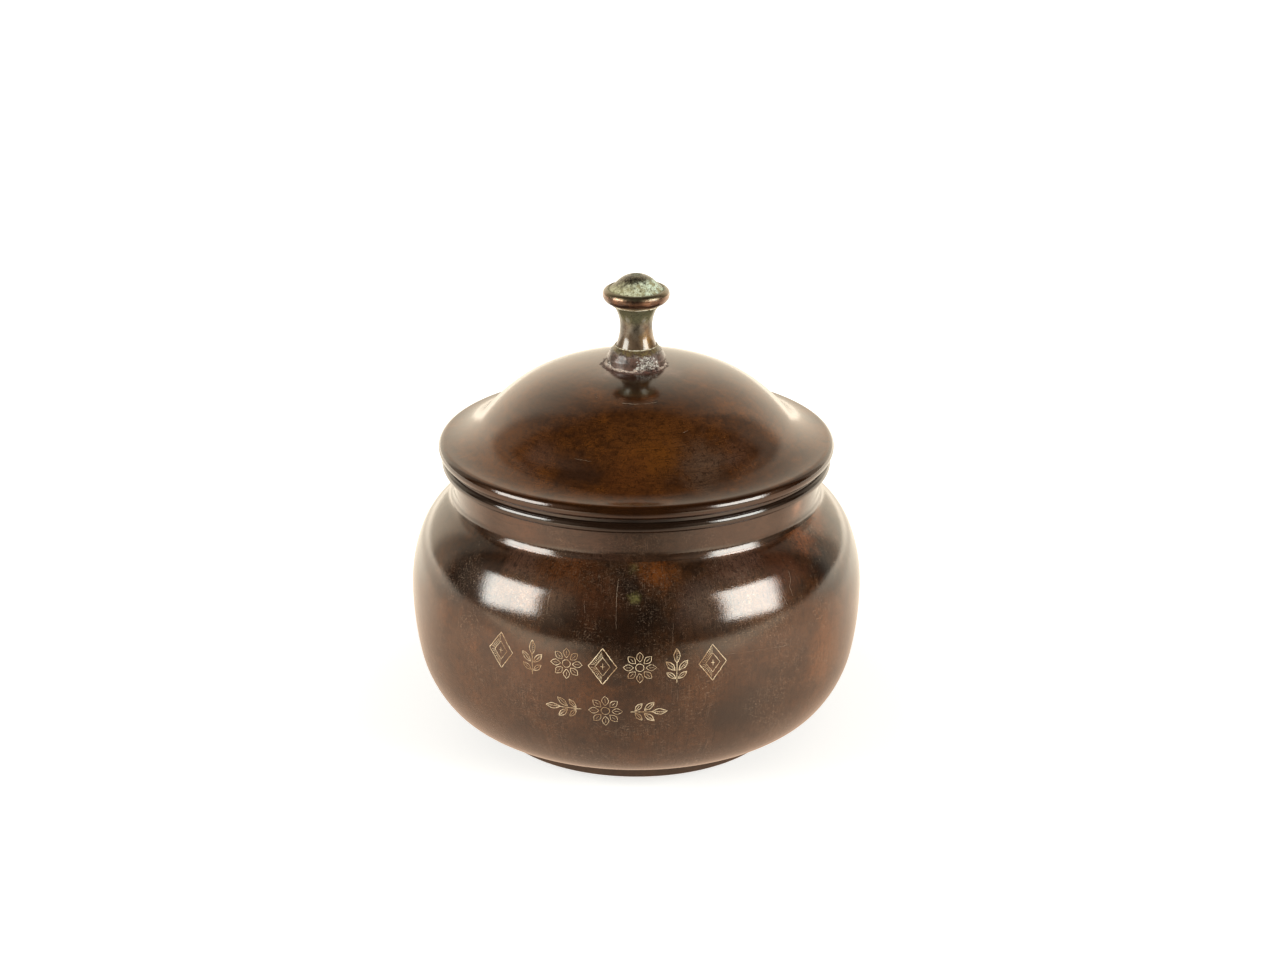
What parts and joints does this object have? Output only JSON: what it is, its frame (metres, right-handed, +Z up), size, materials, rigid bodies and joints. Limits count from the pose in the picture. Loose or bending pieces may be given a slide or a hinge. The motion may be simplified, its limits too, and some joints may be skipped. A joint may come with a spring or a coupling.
{
  "type": "biscuit jar",
  "caption": "Squat round biscuit jar of dark patinated sheet metal on a low foot ring, with a domed lift-off lid and a turned knob.",
  "frame": {"origin": "centre of the foot ring's lower face, on the jar's axis", "axes": "+Z up along the axis of turning; -Y towards the engraved front"},
  "size_m": [0.1598, 0.1598, 0.1674],
  "materials": {
    "patinated_sheet": "dark brown patina under a glossy wax or lacquer",
    "dark_foot": "darker brown patina, satin",
    "rim_wire": "dull drawn wire",
    "knob_bronze": "olive brown patina, worn at the edges",
    "verdigris_bronze": "green-white verdigris over copper-brown metal",
    "bright_brass": "dull brass",
    "solder": "rough grey solder"
  },
  "bodies": {
    "jar": {"bowl": "patinated_sheet", "neck_collar": "patinated_sheet", "neck_wire": "rim_wire", "foot_ring": "dark_foot"},
    "lid": {"lid_shell": "patinated_sheet", "lid_wire": "rim_wire", "lid_bezel": "patinated_sheet", "knob_flange": "knob_bronze", "knob_stem": "knob_bronze", "knob_collet": "bright_brass", "knob_cap": "verdigris_bronze", "knob_stud": "bright_brass", "knob_washer": "bright_brass", "knob_nut": "bright_brass", "knob_solder": "solder"}
  },
  "joints": [
    {"name": "lid_lift", "type": "slide", "parent": "jar", "child": "lid", "axis": [0, 0, 1], "range_m": [0, 0.08]}
  ]
}
